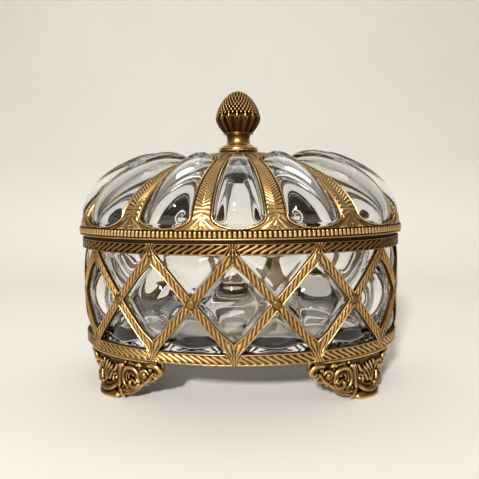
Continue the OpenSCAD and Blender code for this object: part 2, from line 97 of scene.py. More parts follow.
ROSETTE_DEG = 10.0  # from one leaf of the crown's rosette to the next
LID_TURN = 2.5  # the lid sits this many degrees round from the cage's middle
LOBE = 9.8  # how far the widest lobe swells
LOBE_INNER = 0.86  # share of a lobe's swell that its inner face has too
OPEN_FOOT, OPEN_HEAD = 1.5, 65.6  # an opening's two ends, as dome angles in degrees
FOOT_ARCH, HEAD_ARCH = 9, 10  # degrees over which it rounds in at its foot and head
FOOT_POWER, HEAD_POWER = 0.55, 0.5  # how full the two arches are: 0 would be square
SWELL_HEAD = 65.3  # where a lobe's swell ends


# ---------------- small helpers
def unit(x):
    return np.clip(x, 0, 1)


def smooth(x):
    """From 0 to 1 as x does, level at both ends."""
    return unit(x) ** 2 * (3 - 2 * unit(x))


def ease(x):
    """From 0 to 1 as x does, level at the top only."""
    return np.sin(np.pi / 2 * unit(x))


def circle(n):
    """n angles, evenly round a circle."""
    return np.linspace(0, 2 * np.pi, n, endpoint=False)


def bead(d, r):
    """Height of a round bead of radius r at a distance d from its middle line."""
    return np.sqrt(np.clip(r * r - d * d, 0, None))


def link(name, data):
    """A new object in the scene."""
    obj = bpy.data.objects.new(name, data)
    bpy.context.scene.collection.objects.link(obj)
    return obj


def set_relief(mesh, values):
    layer = mesh.attributes.get("relief") or mesh.attributes.new("relief", "FLOAT", "POINT")
    layer.data.foreach_set("value", values.astype(np.float32))


def shade_smooth(mesh, material):
    mesh.polygons.foreach_set("use_smooth", np.ones(len(mesh.polygons), bool))
    mesh.materials.append(material)


def grid_quads(index):
    """The corners of each quad of a grid of point numbers."""
    return np.stack([index[:-1, :-1], index[:-1, 1:], index[1:, 1:], index[1:, :-1]], -1)


class Oval:
    """An oval that is walked by arc length from the front towards +X."""

    def __init__(self, length, width):
        t = np.linspace(0, 2 * np.pi, 8193)
        self.t, self.l, self.w = t, length, width
        x, y = length / 2 * np.sin(t), -width / 2 * np.cos(t)
        self.s = np.r_[0, np.cumsum(np.hypot(np.diff(x), np.diff(y)))]
        self.total = self.s[-1]

    def walk(self, n):
        """n arc lengths, evenly round the oval, as one row."""
        return np.linspace(0, self.total, n, endpoint=False)[None, :]

    def at(self, s, z, out):
        """Points at arc length s and height z, moved out along the wall's normal."""
        t = np.interp(np.mod(s, self.total), self.s, self.t)
        nx, ny = np.sin(t) / self.l, -np.cos(t) / self.w
        n = np.hypot(nx, ny)
        x = self.l / 2 * np.sin(t) + out * nx / n
        y = -self.w / 2 * np.cos(t) + out * ny / n
        return np.stack(np.broadcast_arrays(x, y, z), -1)


class Shape:
    """Collects grids of points and makes one mesh of them. relief runs from 0 in a recess to 1 on top; the
    brass darkens low relief, partly as patina and partly as painted shade.
    """

    def __init__(self):
        self.points, self.quads, self.relief, self.count = [], [], [], 0

    def grid(self, points, relief=0.6, wrap_rows=False, wrap_cols=False, keep=None, flip=False):
        """Adds a grid of rows by columns. keep, where given, says which quads are made."""
        rows, cols = points.shape[:2]
        index = np.arange(rows * cols).reshape(rows, cols) + self.count
        if wrap_rows:
            index = np.vstack([index, index[:1]])
        if wrap_cols:
            index = np.hstack([index, index[:, :1]])
        q = grid_quads(index)
        q = q[keep] if keep is not None else q.reshape(-1, 4)
        self.quads.append(q[:, ::-1] if flip else q)
        self.points.append(points.reshape(-1, 3))
        self.relief.append(np.broadcast_to(relief, points.shape[:2]).reshape(-1))
        self.count += rows * cols
        return self

    def lathe(self, r, z, turns, relief):
        """Turns a profile round the box's upright axis. Points at r = 0 close it."""
        a = circle(turns)
        r, z, relief = (np.array(row, float)[:, None] for row in (r, z, relief))
        p = np.stack(np.broadcast_arrays(r * np.cos(a), r * np.sin(a), z), -1)
        return self.grid(p, relief, wrap_cols=True)

    def welded(self, name, weld):
        """A mesh of all the grids, and a bmesh of it in which the points that meet are one."""
        mesh = bpy.data.meshes.new(name)
        mesh.from_pydata(np.concatenate(self.points) * MM, [], np.concatenate(self.quads))
        set_relief(mesh, np.concatenate(self.relief))
        bm = bmesh.new()
        bm.from_mesh(mesh)
        bmesh.ops.remove_doubles(bm, verts=bm.verts, dist=weld * MM)
        return mesh, bm

    def make(self, name, material, body, slot, *replaced, weld=0.004):
        """Makes the mesh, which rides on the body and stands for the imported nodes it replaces."""
        mesh, bm = self.welded(name, weld)
        bmesh.ops.dissolve_degenerate(bm, edges=bm.edges, dist=weld * MM / 4)
        bmesh.ops.recalc_face_normals(bm, faces=bm.faces)
        bm.to_mesh(mesh)
        bm.free()
        shade_smooth(mesh, material)
        obj = link(name, mesh)
        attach(obj, body)
        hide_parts(*replaced)


# ---------------- materials
class Tree:
    """The nodes of a material or a world. Each method adds to them, and most return an output."""

    def __init__(self, owner):
        owner.use_nodes = True
        self.nodes, self.links = owner.node_tree.nodes, owner.node_tree.links

    def feed(self, socket, value):
        """Links an output to a socket, or sets it to a number, a vector or a colour."""
        if hasattr(value, "default_value"):
            self.links.new(value, socket)
        else:
            socket.default_value = (*value, 1) if socket.type == "RGBA" else value

    def put(self, node, **values):
        for name, value in values.items():
            self.feed(node.inputs[name.replace("_", " ")], value)

    def add(self, kind, **values):
        node = self.nodes.new("ShaderNode" + kind)
        self.put(node, **values)
        return node

    def noise(self, scale, detail, rough, stretch=(1, 1, 1)):
        """A noise texture in the object's own coordinates, in features per metre."""
        source = self.add("TexCoord").outputs["Object"]
        source = self.add("Mapping", Vector=source, Scale=stretch).outputs["Vector"]
        tex = self.add("TexNoise", Vector=source, Scale=scale, Detail=detail, Roughness=rough)
        return tex.outputs["Fac"]

    def height(self, output):
        """The Z of the object's or the room's own coordinates."""
        return self.add("SeparateXYZ", Vector=self.add("TexCoord").outputs[output]).outputs["Z"]

    def ramp(self, source, *stops):
        """A colour ramp: stops are (position, colour)."""
        node = self.add("ValToRGB", Fac=source)
        elements = node.color_ramp.elements
        while len(elements) < len(stops):
            elements.new(0.5)
        for element, (at, colour) in zip(elements, stops):
            element.position = at
            element.color = (*colour, 1)
        return node.outputs["Color"]

    def math(self, kind, *values, clamp=False):
        node = self.add("Math")
        node.operation = kind
        node.use_clamp = clamp
        for socket, value in zip(node.inputs, values):
            self.feed(socket, value)
        return node.outputs[0]

    def multiply(self, share, a, b):
        """Colour a, multiplied by colour b to the given share."""
        node = self.add("Mix")
        node.data_type = "RGBA"
        node.blend_type = "MULTIPLY"
        for number, value in ((0, share), (6, a), (7, b)):     # the node's sockets for colours
            self.feed(node.inputs[number], value)
        return node.outputs[2]

    def bump(self, height, strength, distance):
        return self.add("Bump", Height=height, Strength=strength, Distance=distance).outputs["Normal"]


def new_material(name):
    mat = bpy.data.materials.new(name)
    tree = Tree(mat)
    return mat, tree, tree.nodes["Principled BSDF"]


def grey(value):
    return (value,) * 3


def brass(name, bright, mid, dark, rough, wear=0.35):
    """Antique gilt brass: burnished where it stands proud, darker where it lies deep, which is partly brown
    patina and partly painted shade in the recesses. rough is for recesses and for high points, and wear is
    how far blotches shift the line between them."""
    mat, tree, shader = new_material(name)
    attr = tree.add("Attribute")
    attr.attribute_name = "relief"
    level = tree.math("MULTIPLY_ADD", tree.noise(95, 5, 0.6), wear, -wear / 2)
    level = tree.math("ADD", attr.outputs["Fac"], level, clamp=True)
    # low relief is dark, down to near black: partly patina, partly painted shade in recesses and gaps
    colour = tree.ramp(level, (0.12, dark), (0.5, mid), (0.85, bright))
    stain = tree.ramp(tree.noise(38, 4, 0.6), (0.35, (0.82, 0.74, 0.62)), (0.6, grey(1)))
    dull = tree.ramp(level, (0.1, grey(rough[0])), (0.9, grey(rough[1])))
    speck = tree.noise(900, 3, 0.6)
    scuff = tree.ramp(speck, (0.3, grey(0)), (0.75, grey(0.14)))
    tree.put(shader, Base_Color=tree.multiply(0.7, colour, stain), Metallic=1.0,
             Roughness=tree.math("ADD", dull, scuff), Normal=tree.bump(speck, 0.25, 0.12 * MM))
    return mat


def glass(name, tint, rough):
    """Thick clear blown glass with faint ripples."""
    mat, tree, shader = new_material(name)
    streak = tree.ramp(tree.noise(60, 2, 0.4), (0.3, grey(rough)), (0.8, grey(rough * 2.2)))
    ripple = tree.noise(85, 1, 0.4, stretch=(1, 1, 0.6))
    tree.put(shader, Base_Color=tint, Metallic=0.0, Transmission_Weight=1.0, IOR=1.5, Roughness=streak,
             Normal=tree.bump(ripple, 0.12, 0.8 * MM))
    return mat


GILT = brass("gilt_brass", (0.86, 0.60, 0.27), (0.34, 0.195, 0.07), (0.016, 0.007, 0.003),
             rough=(0.5, 0.21))
CAGE_GILT = brass("gilt_brass_cage", (0.70, 0.46, 0.20), (0.27, 0.148, 0.052), (0.013, 0.006, 0.0025),
                  rough=(0.52, 0.24))
# a darker copy of the brass: on the upper band it is painted shade under the lid's rim, and on the cone it
# gives a browner tone
BROWN_AND_SHADED_GILT = brass("gilt_brass_brown_and_shaded", (0.60, 0.385, 0.165), (0.20, 0.108, 0.038), (0.010, 0.0045, 0.002),
                   rough=(0.52, 0.25))
POLISHED = brass("gilt_brass_turned", (0.84, 0.58, 0.22), (0.50, 0.29, 0.085), (0.10, 0.05, 0.016),
                 rough=(0.34, 0.17), wear=0.2)
DARK = brass("dark_brass", (0.42, 0.29, 0.13), (0.22, 0.14, 0.055), (0.06, 0.035, 0.018), rough=(0.6, 0.42))
GLASS = glass("clear_glass", (0.994, 0.998, 0.996), 0.003)


# ---------------- the cage
CAGE = Oval(CAGE_L, CAGE_W)
CELL = CAGE.total / N_DIV
LEAN = math.hypot(CELL, CAGE_H)
COS_A, SIN_A = CELL / LEAN, CAGE_H / LEAN
STRAP_ROWS = 280  # points along a strap
LEAF_PITCH = 3.0  # from one leaf of a strap to the next
LEAF_SLANT = 1.7  # a leaf lies at about 30 degrees to its strap
LEAF_WIDE = 0.38  # half a leaf's width at its middle, as a share of the pitch
LEAF_H, LEAF_DIP = 0.56, 0.24  # a leaf's height, and how far its edge lies below the strap's face
EDGE_R = 0.29  # radius of the bead along a strap's edge
BOSS_R = 2.8  # the leaves stop this far from a crossing
FAN_R = 5.6  # radius of the sheaf of leaves where two straps meet a band
WEB = 0.9  # how much wider a strap grows into the V where it meets its neighbour
WEB_RUN = 8.0  # length over which it does
HALF_LAP = 0.3  # a falling strap's leaves lie this much deeper where it is crossed
EMBED = 0.8  # how far a strap's end runs into its band
MITRE_GAP = 0.02  # left between two straps that are mitred together


def pointed(q, wide):
    """Section across a row of pointed leaves: q counts them, and wide is half a leaf's width there."""
    return np.sqrt(unit(1 - ((q - np.round(q)) / np.maximum(wide, 1e-3)) ** 2))


def fan(ds, dz, ridges=9.0):
    """A sheaf of chased leaves that spreads from a node."""
    angle = np.arctan2(ds, np.abs(dz) + 1.6)
    q = ridges * angle / np.pi
    return 0.42 * pointed(q, 0.40) - 0.14


def strap_height(ds, dz, along, across, side_w):
    """Relief of a strap at ds, dz from its crossing, and at along, across on the strap itself."""
    w = np.abs(across)
    edge = bead(w - (side_w - 0.30), EDGE_R) * 1.25
    field = unit(w / (side_w - 0.62))
    q = (along - LEAF_SLANT * across) / LEAF_PITCH
    leaves = LEAF_H * pointed(q, LEAF_WIDE * np.sqrt(1 - field ** 2)) - LEAF_DIP
    other = np.abs(ds * SIN_A + dz * COS_A)
    inside = smooth((STRAP_W / 2 - 0.25 - other) / 0.3)
    boss = smooth((BOSS_R - np.hypot(ds, dz)) / 0.4)
    height = np.maximum(edge, leaves * (1 - boss)) * (1 - inside) + leaves * (1 - boss) * inside
    node_ds = CELL / 2 - np.abs(ds)
    node_dz = CAGE_H / 2 - np.abs(dz)
    near = smooth((FAN_R - np.hypot(node_ds, node_dz)) / 1.4)
    height = height * (1 - near) + near * np.maximum(fan(node_ds, node_dz + 1.0), edge)
    return height, inside


def add_strap(shape, k, side):
    """Strap of cell k, leaning up to the right if side is 1. It is mitred against its neighbours."""
    mitre = CELL / 2 - MITRE_GAP
    face = np.linspace(-1, 1, 27)
    c = np.r_[face, 0.95, -0.95]       # the last two columns are the back, a little narrower
    f = np.linspace(0, 1, STRAP_ROWS)[:, None]
    run = LEAN * f
    web_high = WEB * smooth((run - (LEAN - WEB_RUN)) / WEB_RUN)
    web_low = WEB * smooth((WEB_RUN - run) / WEB_RUN)
    half = STRAP_W / 2 + np.where(c < 0, web_high, web_low)
    across = c * half
    ends = []
    for sign, row in ((-1, 0), (1, -1)):
        by_cell = (sign * mitre + across[row] * SIN_A) / COS_A
        by_band = (sign * (CAGE_H / 2 + EMBED) - across[row] * COS_A) / SIN_A
        ends.append(np.maximum(by_cell, by_band) if sign < 0 else np.minimum(by_cell, by_band))
    along = ends[0] + (ends[1] - ends[0]) * f
    ds = along * COS_A - across * SIN_A
    dz = along * SIN_A + across * COS_A
    height, inside = strap_height(ds, dz, along, across, half)
    if side < 0:
        ds = -ds
        height = height - HALF_LAP * inside
    out = height - 0.15
    out[:, 0] = out[:, len(face) - 1] = -0.4
    out[:, len(face):] = -STRAP_T
    points = CAGE.at((k + 0.5) * CELL + ds, (Z_CAGE + Z_HIGH) / 2 + dz, out)
    relief = unit(0.34 + 1.9 * height)
    relief[:, 0] = relief[:, len(face) - 1] = 0.1
    shape.grid(points, relief, wrap_cols=True)
    for row in (points[0], points[-1]):
        part = (len(row) + 1) // 2
        cap = np.stack([row[:part], row[::-1][:part]])
        shape.grid(cap, 0.4)


def make_straps():
    """Twelve straps that lean one way and twelve that lean the other."""
    for side, word in ((1, "rising"), (-1, "falling")):
        for k in range(N_DIV):
            shape = Shape()
            add_strap(shape, k, side)
            node = "lattice_strap_%s_%02d" % (word, k + 1)
            shape.make("chased_%s_%02d" % (word, k + 1), CAGE_GILT, "box_body", "gilt_brass", node)


def make_rivets():
    """Flat round bosses at the crossings, each in a groove with a fine collar."""
    shape = Shape()
    flat = [(0, 0.40, 0.50), (0.5, 0.40, 0.48), (1.0, 0.39, 0.46), (1.4, 0.37, 0.50)]
    turned_edge = [(1.6, 0.32, 0.62), (1.72, 0.2, 0.4)]
    groove = [(1.78, -0.08, 0.0), (1.98, -0.08, 0.0)]
    collar = [(2.06, 0.22, 0.4), (2.2, 0.27, 0.66), (2.34, 0.2, 0.4), (2.42, -0.5, 0.05)]
    # each point is a radius, a height above the strap's face and a relief
    r, h, tone = np.array(flat + turned_edge + groove + collar).T
    a = circle(32)
    for k in range(N_DIV):
        ds, dz = r[:, None] * np.cos(a), r[:, None] * np.sin(a)
        p = CAGE.at((k + 0.5) * CELL + ds, (Z_CAGE + Z_HIGH) / 2 + dz, h[:, None])
        shape.grid(p, tone[:, None], wrap_cols=True)
    shape.make("crossing_bosses", CAGE_GILT, "box_body", "gilt_brass", "crossing_rivets")


def band_height(oval, s, z, z_mid, half, slant, strokes):
    """Relief of a rope-chased band: a fillet along each edge, slanted leaves between, and a sheaf of
    leaves where the straps meet it."""
    u = (z - z_mid) / half
    fillet = bead((np.abs(u) - 0.87) * half, 0.30) * 1.25
    q = s / oval.total * strokes + slant * ((z - z_mid) * 0.40 + 0.12 * np.sin(3.4 * u))
    wide = 0.45 * np.sqrt(unit(1 - (u / 0.80) ** 2))
    rope = 0.46 * pointed(q, wide) - 0.10
    cell = oval.total / N_DIV
    ds = (s + cell / 2) % cell - cell / 2
    up = 1 if z_mid < (Z_CAGE + Z_HIGH) / 2 else -1
    spread = 1.9 + 0.8 * np.clip(up * (z - z_mid) + 0.6, 0, None)
    near = smooth((spread - np.abs(ds)) / 0.5)
    sheaf = fan(ds, z - z_mid + 0.4 * up, 8.0)
    return np.maximum(fillet * (1 - near * 0.7), rope * (1 - near)) + near * (sheaf + 0.10)


def make_band(node, name, length, width, z0, z1, slant, per_cell, tone, material):
    """A band from z0 to z1, with per_cell leaves to each cell of the cage. tone is its face's relief."""
    oval = Oval(length, width)
    strokes = N_DIV * per_cell
    half, z_mid = (z1 - z0) / 2, (z0 + z1) / 2
    z = np.r_[z0, np.linspace(z0 + 0.12, z1 - 0.12, 25), z1, z1, z0][:, None]
    s = oval.walk(strokes * 13)
    height = band_height(oval, s, z, z_mid, half, slant, strokes)
    out = height - 0.3
    out[0], out[-3] = -0.45, -0.45
    out[-2:] = -BAND_T
    points = oval.at(s, z, out)
    relief = unit(tone + 1.7 * height)
    relief[0], relief[-3:] = 0.3, 0.3
    Shape().grid(points, relief, wrap_rows=True, wrap_cols=True).make(
        name, material, "box_body", "gilt_brass", node)


# ---------------- the glass bowl
def clear_of_straps(p):
    """0 behind a strap and 1 midway to the next, p straps on."""
    share = (STRAP_W + 2 * STRAP_CLEAR) * math.hypot(1 / CELL, 1 / CAGE_H)
    return ease((2 * np.abs(p - np.round(p)) - share) / (1 - share))


def swell(u, v):
    """How far the glass swells at u cells round and v of the way up the cage."""
    edge = unit(np.minimum(v, 1 - v) / 0.3)
    return PILLOW * (clear_of_straps(u + v) * clear_of_straps(u - v) * edge) ** PILLOW_POWER


def make_bowl():
    """Blown bowl, from the middle of its foot out, up, over the lip and down to the middle of its
    floor. Each ring of a profile is a distance out from the wall's face and a height."""
    bowl = Oval(BOWL_L, BOWL_W)
    s = bowl.walk(N_DIV * 40)
    u = s / bowl.total * N_DIV
    z_floor = Z_GLASS + FLOOR_T

    def middle(z):
        return np.zeros((1, s.size, 3)) + [0, 0, z]

    def rings(profile):
        return np.concatenate([bowl.at(s, h, g) for g, h in profile])

    heel = rings([(-6, Z_GLASS), (-2.2, Z_GLASS + 0.1), (-0.8, Z_GLASS + 0.7), (-0.1, Z_GLASS + 1.8)])
    z = np.linspace(Z_CAGE, Z_HIGH, 73)[:, None]
    v = (z - Z_CAGE) / CAGE_H
    outer = bowl.at(s, z, swell(u, v))
    lip = rings([(0, Z_MOUTH - 1.2), (-0.4, Z_MOUTH - 0.4), (-1.4, Z_MOUTH), (-BOWL_T + 1.2, Z_MOUTH),
                 (-BOWL_T + 0.3, Z_MOUTH - 0.4)])
    z_in = np.linspace(Z_HIGH + 1, z_floor + 6, 60)[:, None]
    v_in = (z_in - Z_CAGE) / CAGE_H
    inner = bowl.at(s, z_in, -BOWL_T + INNER_SWELL * swell(u, v_in))
    floor = rings([(-BOWL_T - 0.2, z_floor + 4.2), (-BOWL_T - 1.0, z_floor + 2.2),
                   (-BOWL_T - 2.4, z_floor + 0.8), (-BOWL_T - 5, z_floor + 0.1)])
    points = np.concatenate([middle(Z_GLASS + 0.3), heel, outer, lip, inner, floor,
                             middle(z_floor - 0.1)])
    Shape().grid(points, wrap_cols=True).make("blown_bowl", GLASS, "box_body", "clear_glass", "glass_bowl")


# ---------------- the lid
RIB_HALF, RIB_FLARE = 1.2, 3.7  # half a rib's width at the crown, and how much more it is at the rim
SWELL_FOOT_ARCH, SWELL_HEAD_ARCH = 44, 15  # degrees over which a lobe's swell rises and falls
RIB_PITCH = 1.9  # from one leaf of a rib to the next, at its foot
RIB_LEAF_H, RIB_LEAF_DIP = 0.62, 0.27  # height of a rib's leaf, and how deep its edge lies
LEAF_FALL, LEAF_RISE = -62, 42  # slope of a rib's leaves in degrees, at its foot and at its top
FLUTES = 216
FLUTE_H = 0.62  # height of a flute of the rim


def reach(phi):
    """Distance from the middle to the frame's oval, in direction phi degrees from the front."""
    p = np.radians(phi)
    return 1 / np.hypot(2 * np.sin(p) / FRAME_L, 2 * np.cos(p) / FRAME_W)


def dome_at(phi, a, out=0.0):
    """Points of the dome at dome angle a, 0 at the rim and 90 at the crown."""
    ar, p = np.radians(a), np.radians(phi)
    s = np.clip(np.cos(ar), 1e-6, None) ** (2 / DOME_N)
    h = np.clip(np.sin(ar), 0, None) ** (2 / DOME_N)
    nr, nz = s ** (DOME_N - 1) / reach(phi), h ** (DOME_N - 1) / DOME_H
    n = np.hypot(nr, nz)
    r = reach(phi) * s + out * nr / n
    z = Z_DOME + DOME_H * h + out * nz / n
    return np.stack(np.broadcast_arrays(r * np.sin(p), -r * np.cos(p), z), -1)


def opening_half(phi, a):
    """Half the width of an opening in degrees round the lid."""
    s = np.clip(np.cos(np.radians(a)), 1e-6, None) ** (2 / DOME_N)
    rib = np.degrees(np.arcsin(np.clip((RIB_HALF + RIB_FLARE * s) / (reach(phi) * s), 0, 0.9)))
    foot = ease((a - OPEN_FOOT) / FOOT_ARCH) ** FOOT_POWER
    head = ease((OPEN_HEAD - a) / HEAD_ARCH) ** HEAD_POWER
    return (LOBE_DEG / 2 - rib) * foot * head


def lobe_swell(phi, x, a):
    """Swell of a lobe in direction phi, x from -1 to 1 across it. Wide lobes swell the furthest."""
    wide = reach(phi) / (FRAME_L / 2)
    foot = ease((a - OPEN_FOOT) / SWELL_FOOT_ARCH) ** 0.85
    head = ease((SWELL_HEAD - a) / SWELL_HEAD_ARCH) ** 0.5
    return LOBE * wide * foot * head * np.clip(1 - x * x, 0, None) ** 0.6


def make_lid_glass():
    """Blown dome: each lobe swells through its opening, and the columns follow the openings' edges."""
    per_lobe = 52
    edge_col = 0.84            # the share of a lobe's columns that lie in its opening
    u = np.linspace(-1, 1, per_lobe, endpoint=False)[None, :]
    lobes = (LID_TURN + LOBE_DEG * np.arange(N_LOBE))[:, None]
    ribs = lobes + np.sign(u) * LOBE_DEG / 2
    across = ease(np.abs(u) / edge_col)
    beyond = unit((np.abs(u) - edge_col) / (1 - edge_col))

    def ring(a, out, part):
        narrow = OPENING_CLEAR / (reach(ribs) * math.cos(math.radians(a)) ** (2 / DOME_N))
        half = np.maximum(opening_half(ribs, a) - np.degrees(np.arcsin(unit(narrow))), 1.0)
        phi = lobes + np.sign(u) * (across * half + beyond * (LOBE_DEG / 2 - half))
        return dome_at(phi, a, out + part * lobe_swell(phi, across, a)).reshape(1, -1, 3)

    def skirt(z, inward):
        p = np.radians((lobes + LOBE_DEG / 2 * u).reshape(-1))
        l, w = LID_L - 2 * (RIM_T + GAP), LID_W - 2 * (RIM_T + GAP)
        r = 1 / np.hypot(2 * np.sin(p) / l, 2 * np.cos(p) / w) - inward
        return np.stack([r * np.sin(p), -r * np.cos(p), np.full_like(p, z)], -1)[None]

    under = FRAME_T + FRAME_GAP
    outer = np.r_[np.linspace(5, 20, 24), np.linspace(21, 50, 38), np.linspace(51, SWELL_HEAD, 24),
                  68, 72, 77, 82, 86]
    inner = np.r_[86, 82, 76, 70, np.linspace(SWELL_HEAD, 52, 20), np.linspace(50, 6, 40)]
    z0 = Z_RIM + 0.05
    rings = [skirt(z0, DOME_T), skirt(z0, 0.5), skirt(z0 + 0.5, 0), skirt(Z_DOME + 0.2, 0)]
    rings += [ring(a, -under, 1) for a in outer]
    rings += [ring(a, -under - DOME_T, LOBE_INNER) for a in inner]
    Shape().grid(np.concatenate(rings), wrap_rows=True, wrap_cols=True).make(
        "lobed_glass", GLASS, "lid", "clear_glass", "lid_glass")


def rib_rows():
    """Dome angles of a rib's rows, closest together where the openings' edges turn."""
    f = np.linspace(0, 1, 46)[1:]
    foot = OPEN_FOOT + FOOT_ARCH * np.degrees(np.arcsin(f ** (1 / FOOT_POWER))) / 90
    g = np.linspace(1, 0, 30)[:-1]
    head = OPEN_HEAD - HEAD_ARCH * np.degrees(np.arcsin(g ** (1 / HEAD_POWER))) / 90
    middle = np.linspace(foot[-1], head[0], 250)[1:-1]
    return np.r_[0, 0.5, 1.0, OPEN_FOOT, foot, middle, head, OPEN_HEAD, 70, 75, 79, 82]


def chasing(across, along, along_top):
    """Leaves that spring from the rib's middle line: up at the top, level at the flare, down below it."""
    w = np.abs(across)

    def slope(start):
        return np.tan(np.radians(LEAF_FALL + (LEAF_RISE - LEAF_FALL) * smooth((start - 3) / 11)))

    # each point's leaf is found by halving: where on the middle line the leaf that crosses it starts
    low, high = along - 60, along + 60
    for _ in range(22):
        start = (low + high) / 2
        over = start + slope(start) * w * (1 - 0.012 * w) > along
        high = np.where(over, start, high)
        low = np.where(over, low, start)
    q = start / (RIB_PITCH - 0.35 * smooth((start - 2) / 12))
    bold = 1 - 0.25 * smooth((along - 9) / 10)
    fade = 1 - 0.7 * smooth((along - 0.62 * along_top) / (0.26 * along_top))
    leaf = bold * fade * (RIB_LEAF_H * pointed(q, 0.41) - RIB_LEAF_DIP)
    stem = bead(w, 0.34) * 0.7 * fade * smooth((26 - along) / 8)
    return leaf, stem


def nearest(points, line, chunk=40):
    """Distance from each point of a grid to the nearest point of a line."""
    d = np.full(points.shape[:2], np.inf)
    for start in range(0, len(line), chunk):
        part = line[start:start + chunk]
        d = np.minimum(d, np.linalg.norm(points[:, :, None] - part, axis=-1).min(-1))
    return d


def make_lid_frame():
    """Pierced frame with a bead round each opening and chased ribs between them."""
    rows = rib_rows()
    a = rows[:, None]
    joined = (rows <= OPEN_FOOT) | (rows >= OPEN_HEAD)
    c = np.sin(np.linspace(-np.pi / 2, np.pi / 2, 45))
    c_back = np.linspace(-1, 1, 9)
    cap = np.round(np.linspace(0, len(c) - 1, len(c_back))).astype(int)
    open_quads = ~(joined[:-1] & joined[1:])[:, None]
    edge_a = rows[~joined | (rows == OPEN_FOOT) | (rows == OPEN_HEAD)]
    crown = smooth((a - OPEN_HEAD + 6) / 6)
    rosette = crown * (0.34 * pointed(c * LOBE_DEG / 2 / ROSETTE_DEG, 0.44) - 0.16)
    shape = Shape()
    for k in range(N_LOBE):
        mid = LID_TURN + LOBE_DEG * (k + 0.5)
        half = np.where(joined[:, None], LOBE_DEG / 2, LOBE_DEG / 2 - opening_half(mid, a))
        phi = mid + half * c
        base = dome_at(phi, a)
        spine = dome_at(mid + 0 * a, a)[:, 0]
        along = np.r_[0, np.cumsum(np.linalg.norm(np.diff(spine, axis=0), axis=1))][:, None]
        across = np.radians(half * c) * np.linalg.norm(base[..., :2], axis=-1)
        edge_half = LOBE_DEG / 2 - opening_half(mid, edge_a)
        line = np.concatenate([dome_at(mid + sign * edge_half, edge_a) for sign in (-1, 1)])
        d = nearest(base, line)
        border = bead(d - 0.34, 0.32) * 1.3
        groove = -0.26 * np.exp(-((d - 0.92) / 0.2) ** 2)
        leaves, stem = chasing(across, along + 0 * across, along[-1, 0])
        field = smooth((d - 1.1) / 0.35)
        height = border * (1 - 0.7 * crown) + groove
        height = height + field * np.maximum(leaves, stem - 0.05) * (1 - crown)
        height = height + rosette * smooth((d - 0.5) / 0.5)
        front = dome_at(phi, a, height * smooth((along - 0.15) / 0.5) - 0.12)
        back = dome_at(mid + half * c_back, a, -FRAME_T)
        relief = unit(0.42 + 1.6 * height - 0.06 * smooth((along - 14) / 20))
        shape.grid(front, relief)
        shape.grid(back, 0.3, flip=True)
        for end in (0, -1):
            shape.grid(np.stack([front[:, end], back[:, end]], 1), 0.35, keep=open_quads)
        for end in (0, -1):
            shape.grid(np.stack([front[end, cap], back[end]]), 0.3)
    shape.make("pierced_frame", GILT, "lid", "gilt_brass", "lid_frame", weld=0.006)


def make_lid_rim():
    """Fluted rim: upright convex flutes over a plain fillet."""
    oval = Oval(LID_L, LID_W)
    s = oval.walk(FLUTES * 12)
    height = Z_DOME - Z_RIM
    v = np.r_[0, 0.03, 0.1, 0.16, 0.2, 0.235, 0.27, 0.32, 0.4, 0.5, 0.6, 0.7,
              0.78, 0.85, 0.9, 0.94, 0.97, 1][:, None]
    z = Z_RIM + height * v
    across = (s / oval.total * FLUTES) % 1 * 2 - 1
    end = smooth((v - 0.235) / 0.11) * smooth((0.97 - v) / 0.12)
    flute = FLUTE_H * unit(1 - (across / 0.76) ** 2) ** 0.5 * end
    fillet = bead((v - 0.11) * height, 0.46) * 0.9
    relief_h = np.maximum(flute, fillet)
    points = oval.at(s, z, relief_h - FLUTE_H)
    back = [oval.at(s, z_, -RIM_T) for z_ in (Z_DOME, Z_RIM)]
    relief = unit(0.02 + 1.6 * relief_h)
    relief = np.concatenate([relief, np.full((2, relief.shape[1]), 0.3)])
    Shape().grid(np.concatenate([points] + back), relief, wrap_rows=True, wrap_cols=True).make(
        "fluted_rim", GILT, "lid", "gilt_brass", "lid_rim")


# ---------------- the knob
CONE_H = Z_TIP - Z_CONE
CONE_R = (box("finial_cone")[1] - box("finial_cone")[0])[0] / 2
CONE_FOOT_R = 7.4
CONE_WIDE = 0.36  # the cone is widest at this share of its height
CONE_IN = 0.985  # the petals and beads lie inside the cone's outline
PETALS = 16
PETAL_TOP = 0.41  # the petals' tips, as a share of the cone's height
SCALE_W = 0.66  # half a scale's width
SCALE_UP = 1.38  # from one row of scales to the next, along the cone's outline


def cone_r(v):
    """The cone's radius at a share v of its height."""
    low = CONE_R - (CONE_R - CONE_FOOT_R) * unit(1 - v / CONE_WIDE) ** 1.7
    high = CONE_R * unit(1 - unit((v - CONE_WIDE) / (1 - CONE_WIDE)) ** 1.5) ** 0.50
    return np.where(v < CONE_WIDE, low, high)


